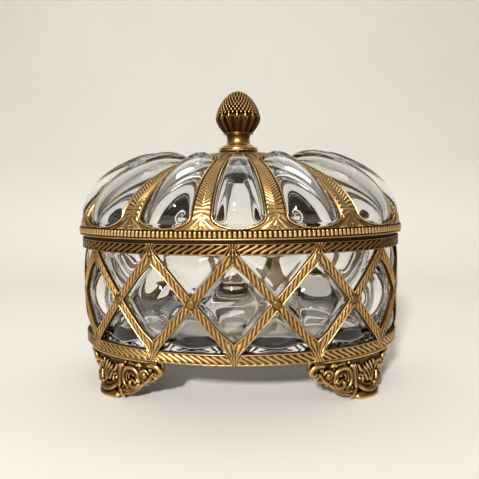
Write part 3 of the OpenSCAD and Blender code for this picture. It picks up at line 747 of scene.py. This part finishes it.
def make_cone():
    """Pine cone: a ring of tall petals below, and rows of small scales that close over the top."""
    shape = Shape()
    a = circle(PETALS * 30)[None, :]
    v = np.r_[0, 0.012, np.linspace(0.03, PETAL_TOP + 0.03, 70),
              np.linspace(PETAL_TOP + 0.04, 0.985, 40), 0.99][:, None]
    x = (a / (2 * np.pi) * PETALS) % 1 * 2 - 1
    w = v / PETAL_TOP
    arch = np.sqrt(unit(1 - (unit(w - 0.55) / 0.45) ** 2))
    edge = np.abs(x) - 0.95 * arch
    inside = smooth(-edge / 0.10) * (w < 1)
    border = np.exp(-((edge + 0.11) / 0.07) ** 2) * (w < 1.0)
    second = np.exp(-((edge + 0.36) / 0.07) ** 2) * (w < 0.9)
    height = 0.25 * inside + 0.42 * border + 0.26 * second - 0.45
    height = np.where(w < 1.02, height, -0.95) * smooth((w - 0.02) / 0.05) * smooth((1.0 - v) / 0.04)
    r = cone_r(v) * CONE_IN - 0.15 + height
    r[-1] = 0
    p = np.stack(np.broadcast_arrays(r * np.cos(a), r * np.sin(a), Z_CONE + CONE_H * v * CONE_IN), -1)
    tone = np.where(w < 1.02, 0.06 + 0.1 * inside + 0.45 * border + 0.28 * second, 0.0)
    shape.grid(p, tone, wrap_cols=True)
    floor = np.stack([p[0], np.broadcast_to([0, 0, Z_CONE], p[0].shape)])
    shape.grid(floor, 0.3, wrap_cols=True, flip=True)
    add_scales(shape)
    shape.make("pine_cone", BROWN_AND_SHADED_GILT, "lid", "gilt_brass", "finial_cone", weld=0.0005)


def add_scale(shape, v, phi, wide, long):
    """One pointed bead that lies up the cone at fraction v of its height, in direction phi."""
    steps = circle(12)[None, :]
    tilt = np.linspace(0, np.pi, 9)[:, None]
    slope = (cone_r(min(1, v + 0.01)) - cone_r(v - 0.01)) / (0.02 * CONE_H)
    up = np.array([slope, 1]) / math.hypot(slope, 1)
    normal = np.array([up[1], -up[0]])
    e = np.cos(tilt) * long
    ring = np.sin(tilt) ** 0.8
    side, lift = ring * np.cos(steps) * wide, ring * np.sin(steps) * wide * 1.05
    rr = cone_r(v) * CONE_IN - 0.62 + up[0] * e + normal[0] * lift
    zz = Z_CONE + CONE_H * v * CONE_IN + up[1] * e + normal[1] * lift
    x, y = rr * np.cos(phi) - side * np.sin(phi), rr * np.sin(phi) + side * np.cos(phi)
    relief = unit(0.95 * lift / wide - 0.04)
    shape.grid(np.stack(np.broadcast_arrays(x, y, zz), -1), relief, wrap_cols=True)


def add_scales(shape):
    """Rows of beads, each row half a step round from the one below, from between the petals' tips up."""
    fine = np.linspace(0, 1, 400)
    arc_up = np.r_[0, np.cumsum(np.hypot(np.diff(cone_r(fine)), np.diff(fine) * CONE_H))]
    for i in range(PETALS):
        add_scale(shape, PETAL_TOP - 0.02, 2 * np.pi * i / PETALS, SCALE_W, 1.5)
    at, row = np.interp(PETAL_TOP + 0.055, fine, arc_up), 0
    while True:
        v = float(np.interp(at, arc_up, fine))
        r = cone_r(v)
        if r < 1.5:
            break
        count = next(n for n in (32, 26, 20, 14, 9, 6) if 2 * math.pi * r / n > 1.55 or n == 6)
        wide = min(SCALE_W, math.pi * r / count * 0.68)
        for i in range(count):
            add_scale(shape, v, 2 * np.pi * (i + 0.5 * (row % 2)) / count, wide, wide * 1.3)
        at += SCALE_UP
        row += 1
    tip = Z_TIP - np.array([0.0, 0.12, 0.6, 1.3, 2.2])
    shape.lathe([0, 0.9, 1.5, 1.7, 1.2], tip, 24, [0.7] * 5)


def make_neck():
    """Turned collar and waisted neck."""
    z0, z1 = box("finial_neck")[0][2], box("finial_neck")[1][2]
    r = (box("finial_neck")[1] - box("finial_neck")[0])[0] / 2
    high = z1 - z0
    profile = [(0, 0), (r - 0.5, 0), (r - 0.12, 0.18), (r, 0.5), (r, 1.5), (r - 0.15, 1.85),
               (r - 0.5, 2.05), (r - 1.5, 2.1), (r - 1.75, 2.25), (r - 1.8, 2.6), (r - 1.95, 2.95),
               (r - 2.5, 3.1), (r - 2.75, 3.25)]
    waist, waist_z = 5.8, 6.3
    for a in np.radians(np.linspace(12, 90, 14)):
        profile.append((waist + (r - 2.8 - waist) * (1 - math.sin(a)),
                        waist_z - (waist_z - 3.3) * math.cos(a)))
    for a in np.radians(np.linspace(84, 6, 14)):
        profile.append((waist + (CONE_FOOT_R - waist) * (1 - math.sin(a)),
                        waist_z + (high - 0.35 - waist_z) * math.cos(a)))
    profile += [(CONE_FOOT_R + 0.3, high - 0.5), (CONE_FOOT_R + 0.45, high - 0.25), (CONE_FOOT_R, high),
                (0, high)]
    p = np.array(profile)
    # lighter over the collar, darker in the hollow above the waist: partly patina, partly painted shade
    relief = unit(0.55 + 0.35 * (p[:, 1] < 4) - 0.45 * np.exp(-((p[:, 1] - 7.6) / 1.6) ** 2))
    Shape().lathe(p[:, 0], z0 + p[:, 1], 96, relief).make(
        "turned_neck", POLISHED, "lid", "gilt_brass", "finial_neck")


# ---------------- the feet
TOE_AT = 49.0  # degrees of the lower band's oval
TO_FRONT, TO_END = 26.0, 17.0  # degrees from the toe to the tips of a foot's two wings
TOE_OUT = 1.6  # how far the toe stands out from the band
WING_H = 6.0  # height of a wing's blunt tip
ROD_FLAT = 0.85  # height of a rod's section over its width
VOXEL = 0.3  # grain of the remesh that fuses a foot
LUG_R, LUG_T = 4.5, 3.0  # radius and thickness of the lug over a foot's screw
SCREW_R = 2.9  # radius of a foot screw's head
NEIGHBOUR_STEPS = 16  # edges from a point to the limit of its neighbourhood
FOOT_TONE, FOOT_GAIN = 0.27, 1900.0  # relief on level ground, and its rise per metre stood proud
LOW = Oval(LOW_L, LOW_W)
FRONT_S, TOE_S, END_S = np.interp(np.radians([TOE_AT - TO_FRONT, TOE_AT, TOE_AT + TO_END]), LOW.t, LOW.s)
FRONT_SPAN, END_SPAN = TOE_S - FRONT_S, END_S - TOE_S


def foot_share(x):
    """How far along its wing x lies: 0 at the toe and 1 at the tip. Below 0 is the front wing."""
    return np.where(x < 0, -x / FRONT_SPAN, x / END_SPAN)


def foot_surface(x, z, out):
    """Bends the flat design of the front right foot round the band. x is arc length from the toe."""
    v = unit(z / Z_LOW)
    toe = np.clip(1 - foot_share(x) * 1.6, 0, None)
    face = -1.2 - 1.7 * np.sin(np.pi * v) + (TOE_OUT + 0.4) * toe * (1 - v) ** 1.6
    return LOW.at(TOE_S + x, z, face + out)


def foot_edge(x):
    """Lower edge of the casting's plate, under the scrolls."""
    w = np.clip(foot_share(x) - 0.26, 0, None) / 0.74
    return 1.0 + (Z_LOW - WING_H) * w ** 1.25 + 0.5 * w * np.sin(5 * np.pi * w)


def tube(shape, path, radii, lift):
    """A tapered rod along a path of (x, z) on the foot's face, closed at both ends."""
    path, radii = np.array(path, float), np.array(radii, float)
    n = 6 * (len(path) - 1) + 1
    key, fine = np.arange(len(path)), np.linspace(0, len(path) - 1, n)
    line = np.stack([np.interp(fine, key, path[:, i]) for i in (0, 1)], -1)
    for _ in range(4):
        line[1:-1] = 0.25 * line[:-2] + 0.5 * line[1:-1] + 0.25 * line[2:]
    r = np.interp(fine, np.linspace(0, len(path) - 1, len(radii)), radii)
    d = np.gradient(line, axis=0)
    d /= np.maximum(np.linalg.norm(d, axis=1, keepdims=True), 1e-9)
    ends = np.r_[0.05, 0.6, np.ones(n - 4), 0.6, 0.05]
    r = (r * ends)[:, None]
    a = circle(10)[None, :]
    side, up = r * np.cos(a), r * ROD_FLAT * np.sin(a)
    x = line[:, :1] - d[:, 1:] * side
    z = np.clip(line[:, 1:] + d[:, :1] * side, 0.02, None)
    points = foot_surface(x, z, up + lift)
    shape.grid(points, wrap_cols=True)
    for end in (0, -1):
        cap = np.stack([points[end], np.broadcast_to(points[end].mean(0), points[end].shape)])
        shape.grid(cap, wrap_cols=True, flip=end == 0)


def arc(cx, cz, r0, r1, a0, a1, n):
    """A spiral of points round cx, cz, from radius r0 at a0 degrees to r1 at a1."""
    f = np.linspace(0, 1, n)
    a, r = np.radians(a0 + (a1 - a0) * f), r0 + (r1 - r0) * f
    return list(zip(cx + r * np.cos(a), cz + r * np.sin(a)))


def spiral(cx, cz, radius, thick, a0, a1, lift):
    """A scroll that winds in from radius to a small eye."""
    return [(arc(cx, cz, radius, 0.9, a0, a1, 12), [thick * 0.7, thick, thick * 0.9, thick * 0.7], lift),
            (arc(cx, cz, 0.4, 0.2, 0, 300, 6), [thick * 0.9, thick * 0.9], lift + 0.3)]


def sheaf(x, z, length, a0, a1, count, thick, lift, curl=0.0):
    """Leaf fingers that spread from one point, from direction a0 to a1 degrees."""
    fingers = []
    for a in np.linspace(a0, a1, count):
        b, c = math.radians(a), math.radians(a + curl)
        middle = (x + 0.55 * length * math.cos(b), z + 0.55 * length * math.sin(b))
        tip = (middle[0] + 0.45 * length * math.cos(c), middle[1] + 0.45 * length * math.sin(c))
        fingers.append(([(x, z), middle, tip], [thick * 0.6, thick, thick * 0.45], lift))
    return fingers


def edge_leaves(x0, x1, count, thick):
    """Acanthus lobes over the plate's lower edge: three fingers each, which sweep down and outward."""
    made = []
    away = 1 if x1 > x0 else -1
    for i, x in enumerate(np.linspace(x0, x1, count)):
        z = foot_edge(x)
        size = 1.0 + 0.18 * (-1) ** i
        for step, (back, rise, tip) in enumerate(((4.2, 4.0, 0.2), (3.4, 2.6, 1.3), (2.2, 4.8, -1.0))):
            start = (x - away * back * size, z + rise * size)
            bend = (x - away * (0.5 * back - 0.5), z + 0.52 * rise + 0.5)
            end = (x + away * tip, z - 0.35 + 0.5 * (step == 2))
            made.append(([start, bend, end], [0.35, thick * (1 - 0.14 * step), thick * 0.55],
                         0.9 - 0.25 * step + 0.2 * (i % 2)))
    return made


def foot_strokes():
    """The casting's ornament as rods: (x, z) points, radii along them, and how far they stand out."""
    toe = [
        ([(-9, 1.7), (-4.5, 1.6), (0, 1.6), (4, 1.6), (6.5, 1.9)], [1.3, 1.75, 1.9, 1.8, 1.3], 0.5),
        ([(4.6, 6.6), (4.3, 4.4), (1.5, 3.5), (-3, 4), (-6.8, 6.4), (-8.4, 8.8)],
         [0.7, 1, 1.15, 1.15, 1.05, 0.6], 1.6),
        ([(2.2, 5.6), (0, 5.2), (-3, 5.9), (-5.6, 8)], [0.5, 0.7, 0.7, 0.5], 1.1),
        # the tilted eye above the toe
        (arc(-4.9, 8.9, 1.9, 1.9, 20, 380, 12), [0.55, 0.65, 0.55], 1.3),
        ([(-4.2, 8.2), (-5.4, 9.6)], [0.75, 0.75], 0.9),
    ]
    corner = [
        ([(3.2, 6.4), (2.6, 10.4), (-1.4, 16.2)], [0.55, 0.85, 0.5], 1),
        ([(1.6, 6.4), (0.8, 10), (-3, 15)], [0.55, 0.85, 0.5], 1.2),
        ([(0, 6.6), (-1.2, 9.8), (-4.4, 13.6)], [0.55, 0.8, 0.5], 1.1),
        ([(4.6, 7.2), (4.4, 11.4), (1, 16.8)], [0.5, 0.8, 0.5], 0.8),
        ([(-2.6, 10.8), (-4.6, 13), (-6.2, 15.8)], [0.5, 0.8, 0.5], 0.9),
    ]
    leaf = [
        ([(-8.2, 5), (-8.6, 9), (-9.2, 13), (-10.4, 16.2), (-11.8, 15.8)],
         [0.7, 1, 1.1, 1.1, 0.7], 1.8),
        ([(-8.4, 8.4), (-6.8, 11), (-7, 14)], [0.5, 0.9, 0.5], 1.1),
        ([(-8.8, 10.6), (-7.6, 13.6), (-8.2, 16.6)], [0.5, 0.9, 0.5], 1.1),
        ([(-8.4, 7), (-10, 8.4), (-10.2, 10.6)], [0.5, 0.85, 0.5], 1.1),
    ]
    cx, cz = -15.2, 10.6
    scroll = [
        # big C-scroll of the front wing: ribs inside one another round a dark hollow
        (arc(cx, cz, 5.1, 4.5, -50, 205, 18), [0.5, 0.85, 1, 0.9, 0.6], 1.7),
        (arc(cx, cz, 3.7, 3.3, -40, 190, 16), [0.35, 0.5, 0.55, 0.4], 1.2),
        (arc(cx, cz, 2.4, 2.1, -30, 180, 14), [0.3, 0.45, 0.45, 0.35], 0.8),
        ([(-19.6, 8.6), (-18.2, 6.9), (-15.8, 6.6), (-14.2, 7.8), (-14.6, 9.4)],
         [0.5, 0.95, 1, 0.8, 0.6], 1.6),
    ]
    scroll += sheaf(cx, cz, 8.2, 84, 134, 7, 0.5, 1)
    scroll += spiral(-22.8, 13, 2.5, 0.9, 170, -170, 1.7)
    strands = [
        ([(-9.6, 4.4), (-13, 4.6), (-17.6, 5.9), (-21.6, 8.6), (-25.6, 10.6)],
         [0.5, 0.9, 1, 0.8, 0.4], 1.2),
        ([(-8.8, 2.8), (-12.6, 3.2), (-17, 4.6), (-20.6, 7)], [0.5, 0.8, 0.8, 0.4], 0.7),
        ([(-19.8, 10.4), (-22.6, 9.2), (-25.4, 11.4), (-27.6, 14.6)], [0.4, 0.8, 0.9, 0.5], 1.3),
    ]
    front_tip = [
        ([(-24.6, 17.4), (-27.2, 18.1), (-29.8, 17.6), (-31.4, 16), (-31, 14.2), (-29.3, 13.7),
          (-28.4, 15)],
         [0.6, 0.95, 1.2, 1.3, 1.15, 0.9, 0.6], 1.6),
        ([(-26.4, 13), (-28, 12), (-29.8, 12.2)], [0.5, 0.9, 0.6], 1),
        ([(-18.2, 16.6), (-20.2, 17.6), (-22.2, 16.8)], [0.5, 1, 0.6], 1.5),
        ([(-26, 15.6), (-27, 16)], [0.85, 0.7], 1.2),
        ([(-20, 14.6), (-20.2, 13.4)], [0.75, 0.6], 1.2),
        ([(-12.2, 17.4), (-13, 17.8)], [0.85, 0.7], 1.3),
    ]
    end = spiral(8.6, 12.6, 3, 1.05, 200, -130, 1.4)
    end += spiral(13.9, 15.4, 2, 0.85, 200, -130, 1.2)
    end += sheaf(6.2, 4.6, 6.4, 10, 62, 4, 0.9, 0.9, 24)
    end += [
        ([(11.2, 11), (13.6, 11.6), (15.4, 12.8)], [0.7, 1, 0.6], 0.9),
        ([(14.6, 17.6), (17, 17.8), (18.6, 16.6)], [0.7, 1, 0.6], 0.8),
        ([(5.6, 9.6), (5.4, 13.2), (4, 16.8)], [0.6, 0.9, 0.5], 0.9),
    ]
    moulding = [([(-FRONT_SPAN, 19.3), (0, 19.3), (END_SPAN, 19.3)], [0.55, 0.65, 0.55], 1)]
    edge = edge_leaves(-10.5, -FRONT_SPAN * 0.93, 6, 1.05)
    edge += edge_leaves(7, END_SPAN * 0.88, 3, 0.95)
    return toe + corner + leaf + scroll + strands + front_tip + end + moulding + edge


def foot_plate(shape):
    """The plate behind the scrolls, thickest at the toe."""
    cols, rows = 90, 18
    x = np.linspace(-FRONT_SPAN + 1.2, END_SPAN - 0.4, cols)[None, :]
    v = np.linspace(0, 1, rows)[:, None]
    low = np.minimum(foot_edge(x), Z_LOW - 0.8)
    z = low + (Z_LOW - 0.05 - low) * v
    thick = 2.0 + 4.0 * np.clip(1 - foot_share(x) * 1.6, 0, None) * (1 - v)
    front, back = foot_surface(x, z, 0.0), foot_surface(x, z, -thick)
    shape.grid(front)
    shape.grid(back, flip=True)
    for edge in (np.s_[0, :], np.s_[-1, :], np.s_[:, 0], np.s_[:, -1]):
        shape.grid(np.stack([front[edge], back[edge]]))


def cast_foot():
    """One foot as a single casting: its strokes and plate are fused by a voxel remesh."""
    shape = Shape()
    foot_plate(shape)
    for path, radii, lift in foot_strokes():
        tube(shape, path, radii, lift)
    mesh, bm = shape.welded("foot_rough", 0.002)
    bmesh.ops.recalc_face_normals(bm, faces=bm.faces)
    add_lug(bm)
    bm.to_mesh(mesh)
    bm.free()
    obj = link("foot_rough", mesh)
    remesh = obj.modifiers.new("fuse", "REMESH")
    remesh.mode = "VOXEL"
    remesh.voxel_size = VOXEL * MM
    soften = obj.modifiers.new("soften", "SMOOTH")
    soften.factor = 0.5
    soften.iterations = 2
    bpy.context.view_layer.update()
    done = bpy.data.meshes.new_from_object(obj.evaluated_get(bpy.context.evaluated_depsgraph_get()))
    bpy.data.objects.remove(obj)
    return done


def add_lug(bm):
    """The lug behind the foot, over its screw."""
    high = box("foot_screws")[1]
    sx, sy = high[0] - SCREW_R, -(high[1] - SCREW_R)
    z = Z_LOW - 1.55
    bmesh.ops.create_cone(bm, cap_ends=True, segments=40, radius1=LUG_R * MM, radius2=LUG_R * MM,
                          depth=LUG_T * MM, matrix=Matrix.Translation(Vector((sx, sy, z)) * MM))
    face = foot_surface(np.array([0.0]), np.array([Z_LOW - 1.5]), -1.5)[0]
    span = np.hypot(face[0] - sx, face[1] - sy)
    middle = Vector(((sx + face[0]) / 2, (sy + face[1]) / 2, z)) * MM
    turn = Matrix.Rotation(math.atan2(face[1] - sy, face[0] - sx), 4, "Z")
    bmesh.ops.create_cube(bm, size=MM, matrix=Matrix.Translation(middle) @ turn
                          @ Matrix.Diagonal((span, 2 * LUG_R, LUG_T, 1)))


def make_feet():
    """Four copies of the casting, mirrored into their corners."""
    cast = cast_foot()
    co = np.empty(len(cast.vertices) * 3)
    cast.vertices.foreach_get("co", co)
    co = co.reshape(-1, 3)
    co[:, 2] = np.clip(co[:, 2], 0.0, box("foot_front_right")[1][2] * MM)
    for name, sx, sy in (("front_right", 1, 1), ("back_right", 1, -1), ("back_left", -1, -1),
                         ("front_left", -1, 1)):
        mesh = cast.copy()
        mesh.vertices.foreach_set("co", (co * [sx, sy, 1]).reshape(-1))
        if sx * sy < 0:
            mesh.flip_normals()
        mesh.update()
        paint_recesses(mesh)
        shade_smooth(mesh, GILT)
        obj = link("scroll_foot_" + name, mesh)
        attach(obj, "box_body")
        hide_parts("foot_" + name)
    bpy.data.meshes.remove(cast)


def paint_recesses(mesh):
    """Sets relief from how far each point stands above the mean of its neighbourhood."""
    n = len(mesh.vertices)
    co, normal = np.empty(n * 3), np.empty(n * 3)
    mesh.vertices.foreach_get("co", co)
    mesh.vertices.foreach_get("normal", normal)
    co, normal = co.reshape(-1, 3), normal.reshape(-1, 3)
    edges = np.empty(len(mesh.edges) * 2, int)
    mesh.edges.foreach_get("vertices", edges)
    a, b = edges.reshape(-1, 2).T
    degree = np.bincount(a, minlength=n) + np.bincount(b, minlength=n)
    mean = co.copy()
    for _ in range(NEIGHBOUR_STEPS):
        total = np.stack([np.bincount(a, axis[b], n) + np.bincount(b, axis[a], n) for axis in mean.T], -1)
        mean = total / np.maximum(degree, 1)[:, None]
    proud = ((co - mean) * normal).sum(1)
    # low relief darkens the feet's hollows in the brass: partly patina, partly painted shade
    set_relief(mesh, unit(FOOT_TONE + FOOT_GAIN * proud))


# ---------------- plain parts that stay as packed
def finish_packed(node, material):
    """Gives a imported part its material, whether it has slots or not."""
    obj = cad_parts[node]
    for slot in obj.material_slots:
        slot.material = material
    if not obj.material_slots:
        obj.data.materials.append(material)


# ---------------- room, light and camera
def make_stage():
    """A pale cream table that sweeps up into the wall behind."""
    mat, tree, shader = new_material("stage_cream")
    tone = tree.ramp(tree.noise(6, 3, 0.5), (0.3, (0.97, 0.97, 0.965)), (0.7, grey(1)))
    # the cream is lightest at the floor and darkens up the wall: painted shade where the lamps' light falls
    # off higher up
    paint = tree.ramp(tree.height("Object"), (0.0, (0.90, 0.868, 0.82)), (0.05, (0.87, 0.84, 0.793)),
                      (0.15, (0.735, 0.711, 0.667)), (0.40, (0.67, 0.648, 0.607)))
    tree.put(shader, Base_Color=tree.multiply(1.0, tone, paint), Roughness=0.7, Specular_IOR_Level=0.2)
    wide, near, far, bend, high = 1.1, -1.2, 0.68, 0.4, 1.2    # in metres
    path = [(near, 0.0), (far - bend, 0.0)]
    path += [(far - bend + bend * math.sin(a), bend * (1 - math.cos(a)))
             for a in np.linspace(0.05, math.pi / 2, 24)]
    path.append((far, high))
    points = np.array([[(x, y, z) for x in np.linspace(-wide, wide, 5)] for y, z in path])
    mesh = bpy.data.meshes.new("sweep")
    index = np.arange(points.size // 3).reshape(points.shape[:2])
    mesh.from_pydata(points.reshape(-1, 3), [], grid_quads(index).reshape(-1, 4))
    shade_smooth(mesh, mat)
    obj = link("sweep", mesh)


def add_area(name, at, target, size, power, colour):
    """A rectangular lamp at one point, in metres, that faces another."""
    light = bpy.data.lights.new(name, "AREA")
    light.shape = "RECTANGLE"
    light.size, light.size_y = size
    light.energy = power
    light.color = colour
    obj = link(name, light)
    obj.location = at
    obj.rotation_euler = (Vector(target) - Vector(at)).to_track_quat("-Z", "Y").to_euler()


def make_light():
    """A lamp in front, above the camera and to the left, a weak one over the table's far side, and a
    room that is light overhead and dark below."""
    add_area("lamp", (-0.30, -1.40, 0.76), (0, 0, 0.05), (0.16, 0.14), 29.5, (1.0, 0.985, 0.955))
    add_area("wash", (0.05, 0.25, 0.80), (0.05, 0.251, 0.0), (0.9, 0.2), 1.3, (1.0, 0.99, 0.965))
    world = bpy.data.worlds.new("room")
    bpy.context.scene.world = world
    tree = Tree(world)
    height = tree.math("MULTIPLY_ADD", tree.height("Generated"), 0.5, 0.5)
    tone = tree.ramp(height, (0.48, (0.05, 0.04, 0.03)), (0.60, (0.09, 0.08, 0.07)),
                     (0.78, (0.22, 0.205, 0.185)), (0.95, (0.36, 0.34, 0.31)))
    tree.put(tree.nodes["Background"], Color=tone, Strength=1.0)


CAMERA_D, CAMERA_Z = 281.3, 92.6  # distance from the box's middle, and height
CAMERA_TURN, CAMERA_PITCH, CAMERA_ROLL = 2.76, 4.85, -0.67  # in degrees
LENS = 40.58  # focal length for a sensor 36 wide


def make_camera():
    camera = bpy.data.cameras.new("camera")
    camera.lens = LENS
    camera.sensor_width = 36.0
    camera.clip_start = 0.01
    obj = link("camera", camera)
    turn = math.radians(CAMERA_TURN)
    obj.location = (CAMERA_D * math.sin(turn) * MM, -CAMERA_D * math.cos(turn) * MM, CAMERA_Z * MM)
    look = (Matrix.Rotation(turn, 4, "Z") @ Matrix.Rotation(math.radians(90 - CAMERA_PITCH), 4, "X")
            @ Matrix.Rotation(math.radians(CAMERA_ROLL), 4, "Z"))
    obj.rotation_euler = look.to_euler()
    bpy.context.scene.camera = obj


def set_up_view():
    """Plain colours, and enough bounces for light to pass through both walls of the glass."""
    scene = bpy.context.scene
    scene.view_settings.view_transform = "Standard"
    scene.view_settings.look = "None"
    scene.cycles.max_bounces = 20
    scene.cycles.transmission_bounces = 20
    scene.cycles.glossy_bounces = 6
    scene.cycles.diffuse_bounces = 4


make_camera()
set_up_view()
make_stage()
make_light()
# the upper band's low face tone and darker brass are painted shade under the lid's rim
make_band("upper_band", "rope_band_upper", BODY_L, BODY_W, Z_HIGH, Z_TOP, -1, 10, 0.03, BROWN_AND_SHADED_GILT)
make_band("lower_band", "rope_band_lower", LOW_L, LOW_W, Z_LOW, Z_CAGE, 1, 11, 0.24, CAGE_GILT)
make_straps()
make_rivets()
make_bowl()
make_feet()
make_lid_glass()
make_lid_frame()
make_lid_rim()
make_cone()
make_neck()
for plain in ("base_ring", "foot_screws", "lid_locating_ring", "finial_stud", "lid_washer", "finial_nut"):
    finish_packed(plain, DARK)
